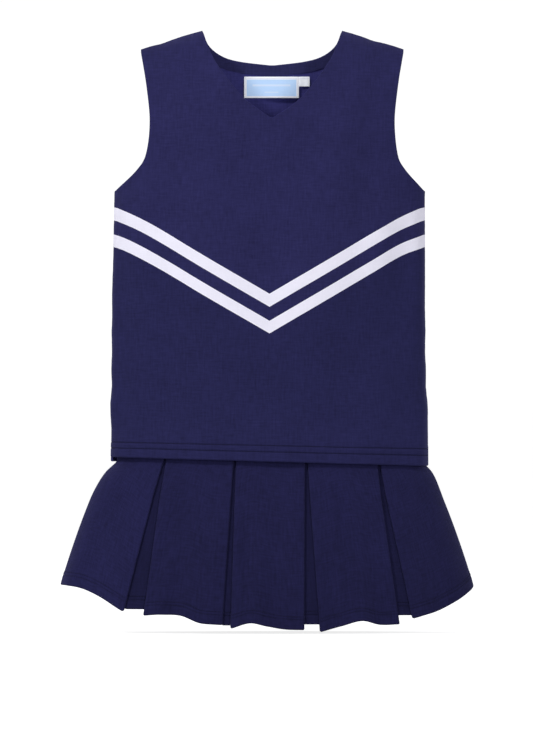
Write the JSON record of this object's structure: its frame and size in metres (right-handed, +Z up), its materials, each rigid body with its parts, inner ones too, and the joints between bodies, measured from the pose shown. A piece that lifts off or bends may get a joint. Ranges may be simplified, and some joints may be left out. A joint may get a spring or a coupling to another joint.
{
  "type": "cheer uniform",
  "caption": "Child's cheer uniform: sleeveless V-neck jersey top with white chevron stripes, worn over a flared box-pleated skirt with an elastic waist.",
  "frame": {"origin": "on the floor under the middle of the garment, at the lowest point of the skirt's hem", "axes": "+Z up, the front of the garment faces -Y, the wearer's left is +X"},
  "size_m": [0.4124, 0.1476, 0.6018],
  "materials": {
    "navy_jersey": "matt cotton jersey",
    "navy_jersey_lower": "matt cotton jersey",
    "white_jersey": "matt cotton jersey",
    "facing_jersey": "matt cotton jersey, inside of the garment",
    "skirt_jersey": "matt cotton jersey",
    "woven_label": "woven satin label",
    "elastic": "woven elastic"
  },
  "bodies": {
    "skirt_base": {"skirt_yoke_front": "skirt_jersey", "skirt_yoke_back": "skirt_jersey", "waistband_casing": "skirt_jersey", "waistband_elastic": "elastic"},
    "top": {"top_front_yoke": "navy_jersey", "chevron_upper_white_left": "white_jersey", "chevron_upper_white_right": "white_jersey", "chevron_middle_navy_left": "navy_jersey", "chevron_middle_navy_right": "navy_jersey", "chevron_lower_white_left": "white_jersey", "chevron_lower_white_right": "white_jersey", "top_front_lower": "navy_jersey_lower", "top_back": "navy_jersey", "neck_facing_front": "facing_jersey", "neck_facing_back": "facing_jersey", "armhole_facing_front_left": "facing_jersey", "armhole_facing_front_right": "facing_jersey", "armhole_facing_back_left": "facing_jersey", "armhole_facing_back_right": "facing_jersey"},
    "label": {"neck_label": "woven_label"},
    "size_tab": {"size_tab": "woven_label"},
    "face_front_right_centre": {"pleat_face_front_right_centre": "skirt_jersey"},
    "face_front_centre": {"pleat_face_front_centre": "skirt_jersey"},
    "face_front_left_centre": {"pleat_face_front_left_centre": "skirt_jersey"},
    "face_front_left_side": {"pleat_face_front_left_side": "skirt_jersey"},
    "face_back_left_side": {"pleat_face_back_left_side": "skirt_jersey"},
    "face_back_left_centre": {"pleat_face_back_left_centre": "skirt_jersey"},
    "face_back_centre": {"pleat_face_back_centre": "skirt_jersey"},
    "face_back_right_centre": {"pleat_face_back_right_centre": "skirt_jersey"},
    "face_back_right_side": {"pleat_face_back_right_side": "skirt_jersey"},
    "face_front_right_side": {"pleat_face_front_right_side": "skirt_jersey"},
    "underlay_front_right_outer": {"pleat_underlay_front_right_outer": "skirt_jersey"},
    "underlay_front_right_inner": {"pleat_underlay_front_right_inner": "skirt_jersey"},
    "underlay_front_left_inner": {"pleat_underlay_front_left_inner": "skirt_jersey"},
    "underlay_front_left_outer": {"pleat_underlay_front_left_outer": "skirt_jersey"},
    "underlay_left_side": {"pleat_underlay_left_side": "skirt_jersey"},
    "underlay_back_left_outer": {"pleat_underlay_back_left_outer": "skirt_jersey"},
    "underlay_back_left_inner": {"pleat_underlay_back_left_inner": "skirt_jersey"},
    "underlay_back_right_inner": {"pleat_underlay_back_right_inner": "skirt_jersey"},
    "underlay_back_right_outer": {"pleat_underlay_back_right_outer": "skirt_jersey"},
    "underlay_right_side": {"pleat_underlay_right_side": "skirt_jersey"}
  },
  "joints": [
    {"name": "top_lift", "type": "slide", "parent": "skirt_base", "child": "top", "axis": [0, 0, 1], "range_m": [0, 0.12]},
    {"name": "label_flip", "type": "hinge", "parent": "top", "child": "label", "pos_m": [-0.00065, 0.03562, 0.556], "axis": [-1, 0, 0], "range_deg": [0, 85]},
    {"name": "size_tab_flip", "type": "hinge", "parent": "top", "child": "size_tab", "pos_m": [0.0322, 0.03562, 0.556], "axis": [-1, 0, 0], "range_deg": [0, 85]},
    {"name": "skirt_flare", "type": "hinge", "parent": "skirt_base", "child": "face_front_centre", "pos_m": [0.001, -0.041, 0.1757], "axis": [-1, -0.0018, 0], "range_deg": [0, 10]},
    {"name": "face_front_right_centre_flare", "type": "hinge", "parent": "skirt_base", "child": "face_front_right_centre", "pos_m": [-0.06948, -0.03651, 0.1757], "axis": [-0.99, 0.1412, 0], "range_deg": [0, 9.25]},
    {"name": "face_front_left_centre_flare", "type": "hinge", "parent": "skirt_base", "child": "face_front_left_centre", "pos_m": [0.07252, -0.03608, 0.1757], "axis": [-0.9887, -0.1496, 0], "range_deg": [0, 9.25]},
    {"name": "face_front_left_side_flare", "type": "hinge", "parent": "skirt_base", "child": "face_front_left_side", "pos_m": [0.13395, -0.0198, 0.1757], "axis": [-0.8462, -0.5329, 0], "range_deg": [0, 7.55]},
    {"name": "face_back_left_side_flare", "type": "hinge", "parent": "skirt_base", "child": "face_back_left_side", "pos_m": [0.13395, 0.0198, 0.1757], "axis": [0.8462, -0.5329, 0], "range_deg": [0, 7.55]},
    {"name": "face_back_left_centre_flare", "type": "hinge", "parent": "skirt_base", "child": "face_back_left_centre", "pos_m": [0.07252, 0.03608, 0.1757], "axis": [0.9887, -0.1496, 0], "range_deg": [0, 9.25]},
    {"name": "face_back_centre_flare", "type": "hinge", "parent": "skirt_base", "child": "face_back_centre", "pos_m": [0.001, 0.041, 0.1757], "axis": [1, -0.0018, 0], "range_deg": [0, 10.05]},
    {"name": "face_back_right_centre_flare", "type": "hinge", "parent": "skirt_base", "child": "face_back_right_centre", "pos_m": [-0.06948, 0.03651, 0.1757], "axis": [0.99, 0.1412, 0], "range_deg": [0, 9.25]},
    {"name": "face_back_right_side_flare", "type": "hinge", "parent": "skirt_base", "child": "face_back_right_side", "pos_m": [-0.13205, 0.02075, 0.1757], "axis": [0.8579, 0.5138, 0], "range_deg": [0, 7.55]},
    {"name": "face_front_right_side_flare", "type": "hinge", "parent": "skirt_base", "child": "face_front_right_side", "pos_m": [-0.13205, -0.02075, 0.1757], "axis": [-0.8579, 0.5138, 0], "range_deg": [0, 7.55]},
    {"name": "underlay_front_right_outer_flare", "type": "hinge", "parent": "skirt_base", "child": "underlay_front_right_outer", "pos_m": [-0.10238, -0.02705, 0.1757], "axis": [-0.97, 0.2431, 0], "range_deg": [0, 6.85]},
    {"name": "underlay_front_right_inner_flare", "type": "hinge", "parent": "skirt_base", "child": "underlay_front_right_inner", "pos_m": [-0.03413, -0.03673, 0.1757], "axis": [-0.9981, 0.0623, 0], "range_deg": [0, 8.65]},
    {"name": "underlay_front_left_inner_flare", "type": "hinge", "parent": "skirt_base", "child": "underlay_front_left_inner", "pos_m": [0.03611, -0.03661, 0.1757], "axis": [-0.9978, -0.0661, 0], "range_deg": [0, 8.65]},
    {"name": "underlay_front_left_outer_flare", "type": "hinge", "parent": "skirt_base", "child": "underlay_front_left_outer", "pos_m": [0.10625, -0.02605, 0.1757], "axis": [-0.9655, -0.2602, 0], "range_deg": [0, 6.85]},
    {"name": "underlay_left_side_flare", "type": "hinge", "parent": "skirt_base", "child": "underlay_left_side", "pos_m": [0.14933, 0, 0.1757], "axis": [0, -1, 0], "range_deg": [0, 4.05]},
    {"name": "underlay_back_left_outer_flare", "type": "hinge", "parent": "skirt_base", "child": "underlay_back_left_outer", "pos_m": [0.10625, 0.02605, 0.1757], "axis": [0.9655, -0.2602, 0], "range_deg": [0, 6.85]},
    {"name": "underlay_back_left_inner_flare", "type": "hinge", "parent": "skirt_base", "child": "underlay_back_left_inner", "pos_m": [0.03611, 0.03661, 0.1757], "axis": [0.9978, -0.0661, 0], "range_deg": [0, 8.65]},
    {"name": "underlay_back_right_inner_flare", "type": "hinge", "parent": "skirt_base", "child": "underlay_back_right_inner", "pos_m": [-0.03413, 0.03673, 0.1757], "axis": [0.9981, 0.0623, 0], "range_deg": [0, 8.65]},
    {"name": "underlay_back_right_outer_flare", "type": "hinge", "parent": "skirt_base", "child": "underlay_back_right_outer", "pos_m": [-0.10238, 0.02705, 0.1757], "axis": [0.97, 0.2431, 0], "range_deg": [0, 6.85]},
    {"name": "underlay_right_side_flare", "type": "hinge", "parent": "skirt_base", "child": "underlay_right_side", "pos_m": [-0.14933, 0, 0.1757], "axis": [0, 1, 0], "range_deg": [0, 4.05]}
  ],
  "couplings": [
    {"joint": "face_front_right_centre_flare", "follows": "skirt_flare", "ratio": 0.92},
    {"joint": "face_front_left_centre_flare", "follows": "skirt_flare", "ratio": 0.92},
    {"joint": "face_front_left_side_flare", "follows": "skirt_flare", "ratio": 0.75},
    {"joint": "face_back_left_side_flare", "follows": "skirt_flare", "ratio": 0.75},
    {"joint": "face_back_left_centre_flare", "follows": "skirt_flare", "ratio": 0.92},
    {"joint": "face_back_centre_flare", "follows": "skirt_flare", "ratio": 1},
    {"joint": "face_back_right_centre_flare", "follows": "skirt_flare", "ratio": 0.92},
    {"joint": "face_back_right_side_flare", "follows": "skirt_flare", "ratio": 0.75},
    {"joint": "face_front_right_side_flare", "follows": "skirt_flare", "ratio": 0.75},
    {"joint": "underlay_front_right_outer_flare", "follows": "skirt_flare", "ratio": 0.68},
    {"joint": "underlay_front_right_inner_flare", "follows": "skirt_flare", "ratio": 0.86},
    {"joint": "underlay_front_left_inner_flare", "follows": "skirt_flare", "ratio": 0.86},
    {"joint": "underlay_front_left_outer_flare", "follows": "skirt_flare", "ratio": 0.68},
    {"joint": "underlay_left_side_flare", "follows": "skirt_flare", "ratio": 0.4},
    {"joint": "underlay_back_left_outer_flare", "follows": "skirt_flare", "ratio": 0.68},
    {"joint": "underlay_back_left_inner_flare", "follows": "skirt_flare", "ratio": 0.86},
    {"joint": "underlay_back_right_inner_flare", "follows": "skirt_flare", "ratio": 0.86},
    {"joint": "underlay_back_right_outer_flare", "follows": "skirt_flare", "ratio": 0.68},
    {"joint": "underlay_right_side_flare", "follows": "skirt_flare", "ratio": 0.4}
  ]
}
